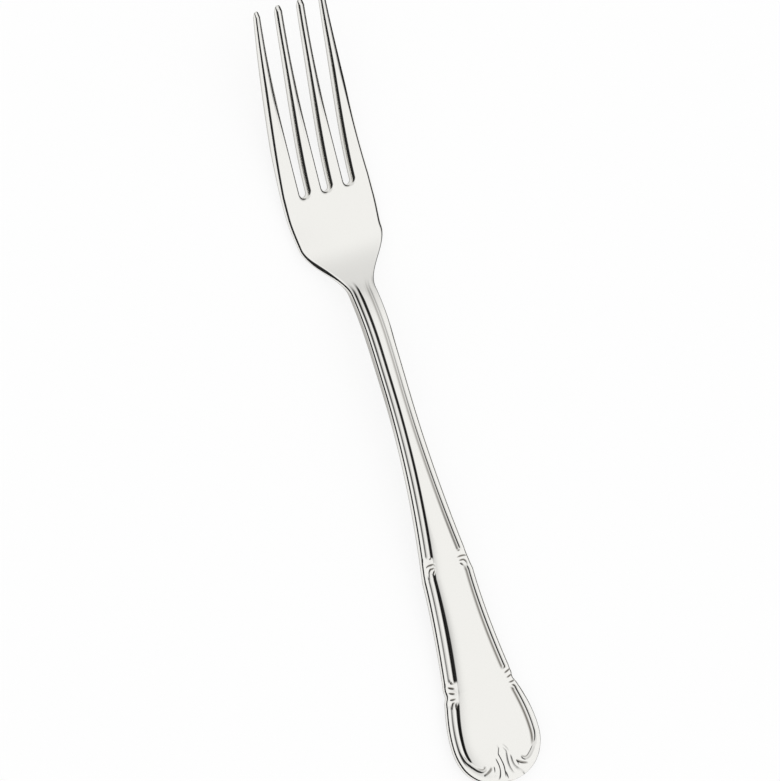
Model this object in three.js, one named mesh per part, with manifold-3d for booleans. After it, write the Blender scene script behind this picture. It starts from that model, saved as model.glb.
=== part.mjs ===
// A four-tined serving fork, struck from one blank of polished steel and lying on its back.
// Millimetres, +Z up, +Y towards the tips, +X to the fork's right. The origin is on the table,
// under the middle of the fork. The blank is parted into its zones by flat cuts across its length.

import * as THREE from "three";
import { mergeVertices } from "three/addons/utils/BufferGeometryUtils.js";
import Module from "manifold-3d";

const { lerp, smoothstep } = THREE.MathUtils;
const wasm = await Module();
wasm.setup();

// Lengths of the zones, from the tips to the heel
const TINE_LENGTH = 56.4;
const PALM_LENGTH = 34.1;
const NECK_LENGTH = 16.2;
const STEM_LENGTH = 33.3;
const HANDLE_LENGTH = 105;

// Places along the fork, each measured from the end of its own zone
const SHOULDER_LENGTH = 21;
const BELLY_FROM_ROOTS = 8;
const CREST_FROM_NECK = 3.8;
const FLARE_FROM_NECK = 15.8;
const UPPER_TIE_FROM_HEEL = 65;
const LOWER_TIE_FROM_HEEL = 30;
const END_LENGTH = 14.2;
const THREADS_START_ABOVE_NECK = 6;
const THREADS_FULL_BELOW_NECK = 2;

// Widths seen from above
const TIP_SPREAD = 23.8;
const PALM_WIDTH = 29.2;
const NECK_WIDTH = 7.9;
const STEM_WIDTH = 8.1;
const UPPER_TIE_WIDTH = 16.8;
const LOWER_TIE_WIDTH = 23.4;
const HANDLE_WIDTH = 28.9;
const TIE_NOTCH_DEPTH = 0.35;
const TIE_NOTCH_LENGTH = 4;

// How the outline bends: powers of the tines' spread, of the two flares and of the round end
const SPREAD_POWER = 1.2;
const UPPER_FLARE_POWER = 2;
const LOWER_FLARE_POWER = 1.6;
const END_POWER = 2.2;

// Lift of the underside from the table at the tips and at the stem's crest, and the tines' bow
const TIP_LIFT = 16.9;
const CREST_LIFT = 5.5;
const BOW_POWER = 1.62;

// Thickness of the metal
const TIP_THICKNESS = 1.5;
const TINE_THICKNESS = 2.9;
const PALM_THICKNESS = 2.4;
const STEM_THICKNESS = 3.8;
const HANDLE_THICKNESS = 2.9;

// Slots between the tines, and the tines' section
const SLOT_SPACING = 7.55;
const SLOT_ROOT_WIDTH = 3.8;
const SLOT_TIP_WIDTH = 5.8;
const SLOT_FLARE_LENGTH = 39.5;
const TINE_DRAFT = 0.4;
const TINE_EDGE_DROP = 0.45;
const TINE_EDGE_POWER = 6;
const TINE_BACK_ROUND = 0.9;
const TINE_BACK_POWER = 4;
const TIP_ROUND = 2;
const TIP_BLUNTNESS = 0.3;

// Border of two threads on the stem and the handle, and the plain rounded edge of the head
const STEM_BORDER = 2.6;
const HANDLE_BORDER = 3.3;
const HEAD_BORDER = 1.2;
const THREAD_HEIGHT = 0.42;
const THREAD_COUNT = 2;
const BORDER_DROP = 0.9;
const BORDER_DROP_POWER = 2;
const HEAD_EDGE_DROP = 0.45;
const HEAD_EDGE_POWER = 6;
const BACK_EDGE_ROUND = 0.5;
const BACK_EDGE_POWER = 3;

// Fineness of the facets
const PANEL_COLUMNS = 2;
const COLUMNS_PER_THREAD = 4;
const TINE_COLUMNS = 6;
const TINE_ROWS = 16;
const TIP_ROWS = 4;
const PALM_ROWS = 20;
const NECK_ROWS = 9;
const STEM_ROWS = 8;
const HANDLE_ROWS = 38;
const END_ROWS = 14;
const SLOT_ROOT_SIDES = 32;
const CUT_CLEARANCE = 1;

// Cuts between the zones
const HEEL_Y = -(TINE_LENGTH + PALM_LENGTH + NECK_LENGTH + STEM_LENGTH + HANDLE_LENGTH) / 2;
const HANDLE_Y = HEEL_Y + HANDLE_LENGTH;
const STEM_Y = HANDLE_Y + STEM_LENGTH;
const NECK_Y = STEM_Y + NECK_LENGTH;
const ROOT_Y = NECK_Y + PALM_LENGTH;
const TIP_Y = ROOT_Y + TINE_LENGTH;

const BELLY_Y = ROOT_Y - BELLY_FROM_ROOTS;
const CREST_Y = STEM_Y - CREST_FROM_NECK;
const FLARE_Y = STEM_Y - FLARE_FROM_NECK;
const UPPER_TIE_Y = HEEL_Y + UPPER_TIE_FROM_HEEL;
const LOWER_TIE_Y = HEEL_Y + LOWER_TIE_FROM_HEEL;
const WIDEST_Y = HEEL_Y + END_LENGTH;

// Share of the way from one place to another, kept between 0 and 1
function share(y, from, to) {
  return THREE.MathUtils.clamp((y - from) / (to - from), 0, 1);
}

// Half the outline's width from the handle's widest place to the tips
function halfWidth(y) {
  if (y > ROOT_Y) {
    const spread = share(y, ROOT_Y, TIP_Y) ** SPREAD_POWER;
    return lerp(PALM_WIDTH, TIP_SPREAD, spread) / 2;
  }
  if (y > NECK_Y) {
    return lerp(NECK_WIDTH, PALM_WIDTH, smoothstep(y, NECK_Y, NECK_Y + SHOULDER_LENGTH)) / 2;
  }
  if (y > FLARE_Y) {
    return lerp(STEM_WIDTH, NECK_WIDTH, share(y, FLARE_Y, NECK_Y)) / 2;
  }
  if (y > UPPER_TIE_Y) {
    const flare = share(y, FLARE_Y, UPPER_TIE_Y) ** UPPER_FLARE_POWER;
    return lerp(STEM_WIDTH, UPPER_TIE_WIDTH, flare) / 2;
  }
  const fromTie = Math.abs(y - LOWER_TIE_Y);
  const notch = TIE_NOTCH_DEPTH * (1 - smoothstep(fromTie, 0, TIE_NOTCH_LENGTH / 2));
  if (y > LOWER_TIE_Y) {
    const flare = share(y, UPPER_TIE_Y, LOWER_TIE_Y) ** LOWER_FLARE_POWER;
    return lerp(UPPER_TIE_WIDTH, LOWER_TIE_WIDTH, flare) / 2 - notch;
  }
  const swell = Math.sin((share(y, LOWER_TIE_Y, WIDEST_Y) * Math.PI) / 2);
  return lerp(LOWER_TIE_WIDTH, HANDLE_WIDTH, swell) / 2 - notch;
}

// Underside on the fork's middle line: flat at the heel, arched at the stem, bowed up to the tips
function underside(y) {
  if (y > BELLY_Y) {
    return TIP_LIFT * share(y, BELLY_Y, TIP_Y) ** BOW_POWER;
  }
  const far = y > CREST_Y ? BELLY_Y : WIDEST_Y;
  return CREST_LIFT * THREE.MathUtils.smootherstep(share(y, far, CREST_Y), 0, 1);
}

// Thickness of the metal along the fork, a smooth curve through the named values
const thicknessCurve = new THREE.CubicInterpolant(
  [HEEL_Y, LOWER_TIE_Y, HANDLE_Y, NECK_Y, NECK_Y + SHOULDER_LENGTH, ROOT_Y, (ROOT_Y + TIP_Y) / 2, TIP_Y],
  [
    HANDLE_THICKNESS,
    HANDLE_THICKNESS,
    STEM_THICKNESS,
    STEM_THICKNESS,
    PALM_THICKNESS,
    (PALM_THICKNESS + TINE_THICKNESS) / 2,
    TINE_THICKNESS,
    TIP_THICKNESS,
  ],
  1
);

function thickness(y) {
  return thicknessCurve.evaluate(y)[0];
}

// How far the threads have risen: 0 on the head, 1 on the stem and the handle
function threadRise(y) {
  return 1 - smoothstep(y, NECK_Y - THREADS_FULL_BELOW_NECK, NECK_Y + THREADS_START_ABOVE_NECK);
}

function borderWidth(y) {
  const onHandle = lerp(STEM_BORDER, HANDLE_BORDER, share(y, FLARE_Y, LOWER_TIE_Y));
  return lerp(HEAD_BORDER, onHandle, threadRise(y));
}

// Height of the border against the panel, at a share of its width from the edge inwards
function borderHeight(y, inwards) {
  const rise = threadRise(y);
  const plain = -HEAD_EDGE_DROP * (1 - inwards) ** HEAD_EDGE_POWER;
  const bead = Math.abs(Math.sin(inwards * THREAD_COUNT * Math.PI));
  const threaded = THREAD_HEIGHT * bead - BORDER_DROP * (1 - inwards) ** BORDER_DROP_POWER;
  return lerp(plain, threaded, rise);
}

// A place on the outline's right side, with the direction that faces out of it
function edgeAt(y) {
  return { edge: new THREE.Vector2(halfWidth(y), y), outward: new THREE.Vector2(1, 0) };
}

// The same on the handle's round end, at an angle from its widest place to the heel
function endEdgeAt(angle) {
  const across = Math.cos(angle) ** (2 / END_POWER);
  const along = Math.sin(angle) ** (2 / END_POWER);
  const halfHandle = HANDLE_WIDTH / 2;
  const outward = new THREE.Vector2(
    across ** (END_POWER - 1) / halfHandle,
    -(along ** (END_POWER - 1)) / END_LENGTH
  ).normalize();
  return { edge: new THREE.Vector2(across * halfHandle, WIDEST_Y - along * END_LENGTH), outward };
}

// Stations along a zone, from its lower cut to its upper one
function stations(fromY, toY, count) {
  return Array.from({ length: count + 1 }, (_, i) => edgeAt(lerp(fromY, toY, i / count)));
}

// Stations round the handle's end, from the heel, where the two sides meet, to the widest place
function endStations() {
  const quarter = Math.PI / 2;
  const round = Array.from({ length: END_ROWS }, (_, i) => endEdgeAt(quarter * (1 - i / END_ROWS)));
  round[0].edge.set(0, HEEL_Y);
  round[0].outward.set(0, -1);
  return round;
}

// A closed box bent to shape: place() gives the point of each column, row and side
function bentBox(columns, rows, place) {
  const box = new THREE.BoxGeometry(columns, rows, 1, columns, rows, 1);
  box.deleteAttribute("normal");
  box.deleteAttribute("uv");
  const position = box.attributes.position;
  for (let i = 0; i < position.count; i += 1) {
    const column = Math.round(position.getX(i) + columns / 2);
    const row = Math.round(position.getY(i) + rows / 2);
    const point = place(column, row, position.getZ(i) > 0);
    position.setXYZ(i, point.x, point.y, point.z);
  }
  return box;
}

// The other hand of a geometry, with its faces turned to point out again
function mirrored(geometry) {
  const copy = geometry.clone().scale(-1, 1, 1);
  const index = copy.index;
  for (let i = 0; i < index.count; i += 3) {
    const first = index.getX(i);
    index.setX(i, index.getX(i + 1));
    index.setX(i + 1, first);
  }
  return copy;
}

// A solid from a closed geometry, without the triangles that have shrunk to a line
function solidOf(geometry) {
  const merged = mergeVertices(geometry, 1e-4);
  const corners = merged.index.array;
  const kept = [];
  for (let i = 0; i < corners.length; i += 3) {
    const [a, b, c] = corners.subarray(i, i + 3);
    if (a !== b && b !== c && c !== a) {
      kept.push(a, b, c);
    }
  }
  const vertProperties = merged.attributes.position.array;
  const triVerts = Uint32Array.from(kept);
  return new wasm.Manifold(new wasm.Mesh({ numProp: 3, vertProperties, triVerts }));
}

function geometryOf(solid) {
  const mesh = solid.getMesh();
  const geometry = new THREE.BufferGeometry();
  geometry.setAttribute("position", new THREE.BufferAttribute(mesh.vertProperties, 3));
  geometry.setIndex(new THREE.BufferAttribute(mesh.triVerts, 1));
  geometry.computeVertexNormals();
  return geometry;
}

// One zone of the blank behind the tines: its right half, bent from a box, joined to its mirror image
function zoneSolid(rows) {
  const borderColumns = THREAD_COUNT * COLUMNS_PER_THREAD;
  const columns = PANEL_COLUMNS + borderColumns;
  const half = bentBox(columns, rows.length - 1, (column, row, front) => {
    const { edge, outward } = rows[row];
    const inwards = Math.min(1, (columns - column) / borderColumns);
    const acrossPanel = Math.min(1, column / PANEL_COLUMNS);
    const onHead = 1 - threadRise(edge.y);
    const draft = front ? 0 : TINE_DRAFT * onHead;
    const inset = borderWidth(edge.y) * inwards - draft * (1 - inwards);
    const x = (edge.x - outward.x * inset) * acrossPanel;
    const y = edge.y - outward.y * inset;
    const height = front
      ? thickness(y) + borderHeight(edge.y, inwards)
      : BACK_EDGE_ROUND * (1 - inwards) ** BACK_EDGE_POWER;
    return new THREE.Vector3(x, y, underside(y) + height);
  });
  return solidOf(half).add(solidOf(mirrored(half)));
}

// The tapered plugs that leave the slots their round roots, as narrow at the back as the tines' draft
function slotRoots() {
  const metal = thickness(ROOT_Y);
  const draftPerHeight = TINE_DRAFT / metal;
  const overshoot = CUT_CLEARANCE * draftPerHeight;
  const front = SLOT_ROOT_WIDTH / 2 + overshoot;
  const back = SLOT_ROOT_WIDTH / 2 - TINE_DRAFT - overshoot;
  const plugs = [-SLOT_SPACING, 0, SLOT_SPACING].map((x) => {
    const plug = new THREE.CylinderGeometry(front, back, metal + 2 * CUT_CLEARANCE, SLOT_ROOT_SIDES);
    plug.deleteAttribute("normal");
    plug.deleteAttribute("uv");
    plug.rotateX(Math.PI / 2);
    plug.translate(x, ROOT_Y, underside(ROOT_Y) + metal / 2);
    return solidOf(plug);
  });
  return plugs.reduce((all, plug) => all.add(plug));
}

// Width of a slot, from its root to where it has opened fully
function slotWidth(y) {
  return lerp(SLOT_ROOT_WIDTH, SLOT_TIP_WIDTH, smoothstep(y, ROOT_Y, ROOT_Y + SLOT_FLARE_LENGTH));
}

// A right-hand tine between two sides, each a function of the place along it
function tineGeometry(innerSide, outerSide) {
  const shank = TIP_Y - TIP_ROUND;
  const rows = TINE_ROWS + TIP_ROWS;
  return bentBox(TINE_COLUMNS, rows, (column, row, front) => {
    const turn = (Math.max(0, row - TINE_ROWS) / TIP_ROWS) * (Math.PI / 2);
    const alongShank = Math.min(1, row / TINE_ROWS);
    const y = lerp(ROOT_Y, shank, alongShank) + TIP_ROUND * Math.sin(turn);
    const narrowing = lerp(TIP_BLUNTNESS, 1, Math.cos(turn));
    const across = -Math.cos((column / TINE_COLUMNS) * Math.PI);
    const middle = (innerSide(y) + outerSide(y)) / 2;
    const half = (outerSide(y) - innerSide(y)) / 2 + (front ? 0 : TINE_DRAFT * share(y, TIP_Y, shank));
    const metal = thickness(y);
    const height = front
      ? metal / 2 - TINE_EDGE_DROP * across ** TINE_EDGE_POWER
      : -metal / 2 + TINE_BACK_ROUND * (metal / TINE_THICKNESS) * across ** TINE_BACK_POWER;
    const z = underside(y) + metal / 2 + height * narrowing;
    return new THREE.Vector3(middle + across * half * narrowing, y, z);
  });
}

const steel = new THREE.MeshStandardMaterial({ color: 0xdcdbd7, roughness: 0.14, metalness: 1 });
const fork = new THREE.Group();

function addPiece(name, geometry) {
  const piece = new THREE.Mesh(geometry, steel);
  piece.name = name;
  fork.add(piece);
}

// The four tines, from the fork's left to its right
const outerTine = tineGeometry((y) => SLOT_SPACING + slotWidth(y) / 2, halfWidth);
const innerTine = tineGeometry(
  (y) => slotWidth(y) / 2,
  (y) => SLOT_SPACING - slotWidth(y) / 2
);
const tines = [mirrored(outerTine), mirrored(innerTine), innerTine, outerTine];
tines.forEach((tine, i) => addPiece(`tine_${i + 1}`, geometryOf(solidOf(tine))));

// The palm, with the round roots of the slots cut into its front
addPiece("palm", geometryOf(zoneSolid(stations(NECK_Y, ROOT_Y, PALM_ROWS)).subtract(slotRoots())));

// The neck and the stem, then the handle with its round end
addPiece("neck", geometryOf(zoneSolid(stations(STEM_Y, NECK_Y, NECK_ROWS))));
addPiece("stem", geometryOf(zoneSolid(stations(HANDLE_Y, STEM_Y, STEM_ROWS))));
addPiece("handle", geometryOf(zoneSolid([...endStations(), ...stations(WIDEST_Y, HANDLE_Y, HANDLE_ROWS)])));

export default fork;
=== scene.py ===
import math

import bmesh
import bpy
import numpy as np
from mathutils import Matrix, Vector


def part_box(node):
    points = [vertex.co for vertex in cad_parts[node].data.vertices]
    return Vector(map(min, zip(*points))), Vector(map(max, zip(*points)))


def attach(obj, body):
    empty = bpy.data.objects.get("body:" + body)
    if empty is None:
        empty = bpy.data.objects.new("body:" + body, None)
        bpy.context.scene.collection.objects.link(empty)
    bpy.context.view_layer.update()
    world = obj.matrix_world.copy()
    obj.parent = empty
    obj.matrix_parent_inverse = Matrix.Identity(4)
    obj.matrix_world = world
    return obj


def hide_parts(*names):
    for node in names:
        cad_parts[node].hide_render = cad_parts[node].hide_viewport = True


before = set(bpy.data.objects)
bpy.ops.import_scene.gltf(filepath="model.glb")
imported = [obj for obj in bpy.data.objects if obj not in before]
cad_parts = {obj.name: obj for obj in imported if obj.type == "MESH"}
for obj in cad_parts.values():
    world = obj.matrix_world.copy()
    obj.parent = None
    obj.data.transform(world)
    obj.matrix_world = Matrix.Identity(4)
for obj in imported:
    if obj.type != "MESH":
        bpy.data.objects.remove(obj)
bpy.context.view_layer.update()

# Blank
# The fork is one piece of stainless steel sheet, blanked to this outline, rolled thinner towards the tips
# and bent, so that it lies on the belly of its palm and on its heel.

# Shapes are worked out in millimetres along the CAD's axes, and MM takes them to metres.
MM = 0.001
HEEL_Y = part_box("handle")[0].y / MM
HANDLE_TOP_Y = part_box("handle")[1].y / MM
STEM_TOP_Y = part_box("stem")[1].y / MM
NECK_TOP_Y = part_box("neck")[1].y / MM
ROOT_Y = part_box("palm")[1].y / MM
TIP_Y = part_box("tine_1")[1].y / MM

# Stations along the fork, from the heel up
END_LENGTH = 14.2
WIDEST_Y = HEEL_Y + END_LENGTH
LOWER_TIE_Y = HEEL_Y + 30
UPPER_TIE_Y = HEEL_Y + 65
FLARE_Y = STEM_TOP_Y - 15.8
CREST_Y = STEM_TOP_Y - 3.8
SHOULDER_START_Y = NECK_TOP_Y + 0.4
SHOULDER_Y = NECK_TOP_Y + 17.6
BELLY_Y = ROOT_Y - 8

# Widths of the outline, and how each flare and the end are rounded
HANDLE_WIDTH = 29.2
LOWER_TIE_WIDTH = 23.8
UPPER_TIE_WIDTH = 17.1
STEM_WIDTH = 8.35
NECK_WIDTH = 8.6
PALM_WIDTH = 29.96
TIP_SPREAD = 23.8
END_POWER = 2.2
LOWER_FLARE_POWER = 1.6
UPPER_FLARE_POWER = 2.0
TIE_WAIST_DEPTH = 0.35
TIE_WAIST_LENGTH = 4.0
# This share of the shoulders' width comes later and more slowly than the rest.
SHOULDER_ROUND = 0.11
SHOULDER_ROUND_START_Y = SHOULDER_Y - 5.2
SHOULDER_ROUND_END_Y = BELLY_Y + 2

# The bow in side view, and the gauge of the metal at stations along it
TIP_LIFT = 16.9
CREST_LIFT = 5.5
BOW_POWER = 1.62
GAUGES = (
    (HEEL_Y, 2.9),
    (LOWER_TIE_Y, 2.9),
    (HANDLE_TOP_Y, 3.8),
    (NECK_TOP_Y - 3, 3.85),
    (NECK_TOP_Y + 13, 2.55),
    (ROOT_Y, 2.65),
    ((ROOT_Y + TIP_Y) / 2, 2.9),
    (TIP_Y, 1.5),
)


def share(value, start, end):
    """How far a value lies on the way from start to end, from 0 to 1."""
    return np.clip((value - start) / (end - start), 0.0, 1.0)


def ease(part):
    """A share that starts and ends gently."""
    return part * part * (3 - 2 * part)


def between(first, last, part):
    """The value at that share of the way from first to last."""
    return first + (last - first) * part


def smooth_through(stations, values, at):
    """A smooth curve through values at stations, read at other places."""
    stations = np.asarray(stations, float)
    values = np.asarray(values, float)
    slopes = np.gradient(values, stations)
    span = np.clip(np.searchsorted(stations, at) - 1, 0, len(stations) - 2)
    length = stations[span + 1] - stations[span]
    t = np.clip((at - stations[span]) / length, 0.0, 1.0)
    start = (2 * t + 1) * (t - 1) ** 2 * values[span] + t * (t - 1) ** 2 * length * slopes[span]
    end = t * t * (3 - 2 * t) * values[span + 1] + t * t * (t - 1) * length * slopes[span + 1]
    return start + end


def tie_waist(y):
    """How far the outline is drawn in at the lower tie."""
    return TIE_WAIST_DEPTH * (1 - ease(share(np.abs(y - LOWER_TIE_Y), 0, TIE_WAIST_LENGTH / 2)))


def half_width(y):
    """Half the blank's width: the stem's, and what each flare, the shoulders and the tines' spread add."""
    shoulders = PALM_WIDTH - NECK_WIDTH
    width = (
        STEM_WIDTH
        + (UPPER_TIE_WIDTH - STEM_WIDTH) * share(y, FLARE_Y, UPPER_TIE_Y) ** UPPER_FLARE_POWER
        + (LOWER_TIE_WIDTH - UPPER_TIE_WIDTH) * share(y, UPPER_TIE_Y, LOWER_TIE_Y) ** LOWER_FLARE_POWER
        + (HANDLE_WIDTH - LOWER_TIE_WIDTH) * np.sin(share(y, LOWER_TIE_Y, WIDEST_Y) * math.pi / 2)
        + (NECK_WIDTH - STEM_WIDTH) * share(y, FLARE_Y, NECK_TOP_Y)
        + shoulders * (1 - SHOULDER_ROUND) * ease(share(y, SHOULDER_START_Y, SHOULDER_Y))
        + shoulders * SHOULDER_ROUND * ease(share(y, SHOULDER_ROUND_START_Y, SHOULDER_ROUND_END_Y))
        + (TIP_SPREAD - PALM_WIDTH) * share(y, ROOT_Y, TIP_Y)
    )
    return width / 2 - tie_waist(y)


def underside(y):
    """The height of the fork's back: the bow of the tines, and the arch from the belly to the heel."""
    arch = 1.0
    for low in (WIDEST_Y, BELLY_Y):
        t = share(y, low, CREST_Y)
        arch = arch * t**3 * (t * (6 * t - 15) + 10)
    return TIP_LIFT * share(y, BELLY_Y, TIP_Y) ** BOW_POWER + CREST_LIFT * arch


def thickness(y):
    """The gauge of the metal, thick in the stem and rolled thin towards the tips."""
    stations, gauges = np.transpose(GAUGES)
    return smooth_through(stations, gauges, y)


# Slots and tines
# Three slots are pierced through the head, with round roots, and leave four tines. The tines are ground
# narrower towards the tips, and their edges are rounded well over, so that nothing catches.
SLOT_SPACING = 7.55
SLOT_ROOT_WIDTH = 3.05
SLOT_TIP_WIDTH = 5.45
SLOT_FLARE_LENGTH = 45.0
HEAD_EDGE_REACH = 1.2
TIP_EDGE_SHARE = 0.75
# A tine takes on its own section over its first stretch, up to here.
FULL_TINE_Y = ROOT_Y + 15
TINE_DRAFT = 0.3
TINE_DRAFT_LOSS = 0.5
TINE_EXTRA_THICKNESS = 0.6
TINE_CROWN = 0.04
TIP_ROUND = 2.0
TIP_BLUNTNESS = 0.5
# The palm is dished across its width, and the dish fades out from here to the tips.
PALM_DISH = 0.4
DISH_FADE_Y = ROOT_Y + 30

# Cells across: the outer tines, then each slot and inner tine. Below the slots the same columns go on, so
# that the outer ones carry the border of the handle and the others its panel.
OUTER_CELLS = 34
SLOT_CELLS = 18
INNER_CELLS = 18
LANE_CELLS = (OUTER_CELLS, SLOT_CELLS, INNER_CELLS, SLOT_CELLS, INNER_CELLS, SLOT_CELLS, OUTER_CELLS)
LANES = [int(start) for start in np.cumsum((0,) + LANE_CELLS)]
TINE_LANES = (0, 2, 4, 6)
SLOT_LANES = (1, 3, 5)
COLUMNS = LANES[-1] + 1
TINE_ROWS = 60
TIP_ROWS = 14


def half_slot(y):
    """Half a slot's width, which grows from its root."""
    return between(SLOT_ROOT_WIDTH, SLOT_TIP_WIDTH, ease(share(y, ROOT_Y, ROOT_Y + SLOT_FLARE_LENGTH))) / 2


def tine_sides(lane, y):
    """Where a tine's left and right sides are."""
    outer = half_width(y)
    slot = half_slot(y)
    return {
        0: (-outer, -SLOT_SPACING - slot),
        2: (-SLOT_SPACING + slot, -slot),
        4: (slot, SLOT_SPACING - slot),
        6: (SLOT_SPACING + slot, outer),
    }[lane]


# Thread border
# Two raised threads are struck along each edge of the stem and handle. The outer one is the rounded edge
# itself, a groove parts it from the inner one, and that falls in a broad flank to the sunk panel.

# At each station: the border's width, how far in its inner thread lies, that thread's height, the height of
# the groove between the threads, how much shade is painted on the inner thread's flank, and how far the
# panel's margin rises.
BORDER_STATIONS = (
    (HEEL_Y, 3.2, 2.6, 0.37, 0.285, 1.1, 0.2),
    (LOWER_TIE_Y, 4.4, 2.6, 0.44, 0.305, 1.0, 0.28),
    (LOWER_TIE_Y + 15, 4.45, 2.6, 0.45, 0.295, 0.95, 0.38),
    (UPPER_TIE_Y, 3.95, 2.6, 0.44, 0.28, 0.9, 0.38),
    (FLARE_Y, 3.75, 2.4, 0.33, 0.28, 0.65, 0.2),
    (TIP_Y, 3.8, 2.35, 0.325, 0.28, 0.65, 0.2),
)
HANDLE_EDGE_REACH = 0.75
GROOVE_IN = 1.85
OUTER_THREAD_HEIGHT = 0.45
THREADS_START_Y = NECK_TOP_Y + 4.5
THREADS_FULL_Y = NECK_TOP_Y - 1
PANEL_SINK = 0.35
PANEL_MARGIN = 5.0
SINK_START_Y = NECK_TOP_Y + 2
SINK_FULL_Y = CREST_Y - 8
# What is struck on the handle lies this far to the right of the blank's middle, as the picture shows it.
STRIKE_SHIFT = 0.35
# Painted shade: a dark grey is painted into the groove, and on the flank at these shares of its fall: on the
# stem and down to the lower tie, and at the heel, standing in for the shade and dark reflections there.
GROOVE_PAINTED_SHADE = 0.3
GROOVE_PAINTED_SHADE_WIDTH = 0.15
FLANK_PAINTED_SHADE_PLACES = (0.33, 0.55)
FLANK_PAINTED_SHADE_WIDTH = 0.35


def border_section(y):
    """The border's width, from the edge to the inner thread's foot, and the other columns of the stations."""
    stations, *columns = np.transpose(BORDER_STATIONS)
    return [smooth_through(stations, column, y) for column in columns]


def thread_height(inwards, foot, crest_in, crest, groove):
    """The two threads in section, by the distance in from the edge, down to the inner one's foot."""
    outer = between(OUTER_THREAD_HEIGHT, groove, ease(share(inwards, HANDLE_EDGE_REACH, GROOVE_IN)))
    inner = between(groove, crest, ease(share(inwards, GROOVE_IN, crest_in)))
    flank = crest * (1 - ease(share(inwards, crest_in, foot)))
    return np.where(inwards < GROOVE_IN, outer, np.where(inwards < crest_in, inner, flank))


# Ribbon ties
# The threads are tied at two places on each side, as if by a ribbon. There they stop, the border sinks
# towards the panel, and their ends bend in like canes, drawn by fine lines struck into the metal.
TIE_HEIGHT = 0.2
TIE_FADE = 1.7
TIE_SPANS = (
    (UPPER_TIE_Y + 2.2, UPPER_TIE_Y + 5.8),
    (LOWER_TIE_Y - 2.2, LOWER_TIE_Y + 2.7),
)
# The lines struck at the ties get this much painted shade, a dark grey for the shade in the cuts.
TIE_LINE_SHADE = 1.0
LINE_STEPS = 60

# Each line: its distance in from the edge, how far it lies above the tie, its half width and its depth.
UPPER_TIE_LINES = (
    (
        (4.2, 4.6, 0.25, 0.0),
        (3.2, 4.7, 0.34, 0.12),
        (2.2, 4.7, 0.34, 0.13),
        (1.4, 4.5, 0.3, 0.1),
        (0.9, 4.2, 0.25, 0.0),
    ),
    (
        (4.0, 3.6, 0.25, 0.0),
        (3.2, 3.5, 0.34, 0.12),
        (2.4, 3.4, 0.34, 0.13),
        (1.9, 2.8, 0.32, 0.1),
        (1.8, 2.0, 0.3, 0.06),
        (1.85, 1.2, 0.3, 0.0),
    ),
    ((4.0, 2.9, 0.25, 0.0), (3.5, 2.4, 0.32, 0.12), (3.2, 1.8, 0.3, 0.08), (3.05, 1.0, 0.3, 0.0)),
    ((3.4, 6.6, 0.25, 0.0), (2.7, 6.5, 0.32, 0.12), (2.1, 6.6, 0.25, 0.0)),
)
LOWER_TIE_LINES = (
    ((1.85, 5.2, 0.3, 0.0), (1.95, 4.2, 0.3, 0.08), (2.2, 3.6, 0.34, 0.13), (2.9, 3.3, 0.3, 0.05)),
    ((0.7, 3.0, 0.25, 0.0), (1.4, 2.5, 0.34, 0.12), (2.4, 2.1, 0.36, 0.13), (3.3, 1.8, 0.3, 0.0)),
    ((0.6, 1.2, 0.25, 0.0), (1.3, 0.8, 0.34, 0.12), (2.1, 0.5, 0.34, 0.12), (2.9, 0.3, 0.25, 0.0)),
    ((0.8, -1.0, 0.25, 0.0), (1.4, -1.1, 0.34, 0.11), (2.3, -1.2, 0.34, 0.13), (3.3, -1.2, 0.25, 0.0)),
    ((2.9, -2.1, 0.25, 0.0), (2.2, -2.3, 0.32, 0.12), (1.85, -2.9, 0.3, 0.1), (1.85, -4.2, 0.3, 0.0)),
    ((3.5, -2.7, 0.25, 0.0), (3.1, -3.2, 0.32, 0.12), (2.95, -3.8, 0.3, 0.08), (3.0, -4.6, 0.3, 0.0)),
)


def tie_height(inwards, foot):
    """The border where the threads stop: a plain slope from the edge to the panel."""
    return TIE_HEIGHT * (1 - ease(share(inwards, HANDLE_EDGE_REACH, foot)))


def struck_line(line):
    """A line's four columns, two for its way, its half width and its depth, smoothed along it."""
    stations = np.arange(len(line))
    at = np.linspace(0, len(line) - 1, LINE_STEPS)
    return [smooth_through(stations, column, at) for column in np.transpose(line)]


# Each struck line, the same on both sides: its way, half width, depth, lean and painted shade. The lean is how
# far outwards of its middle it is deepest, as a share of its half width.
struck_lines = []
for tie_y, tie_lines in ((UPPER_TIE_Y, UPPER_TIE_LINES), (LOWER_TIE_Y, LOWER_TIE_LINES)):
    for line in tie_lines:
        inwards, above, half, deep = struck_line(line)
        line_x = half_width(tie_y + above) - inwards
        struck_lines.append((line_x, tie_y + above, half, deep, 0.0, TIE_LINE_SHADE))

# Palmette
# At the heel the threads end in two curls with small hooks, and a fan of petals is struck between them, the
# tallest ones beside the middle, with a soft bud at their top.
CURL_START_X = HANDLE_WIDTH / 2 - 0.3
CURL_FULL_X = HANDLE_WIDTH / 2 - 1.7
PETAL_LEAN = -0.38
CURL_LEAN = -0.2
# The curl, hook and leaf lines get these amounts of painted shade, a dark grey for the shade in the cuts.
CURL_SHADE = 0.2
HOOK_SHADE = 0.7
LEAF_SHADE = 0.8

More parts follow.
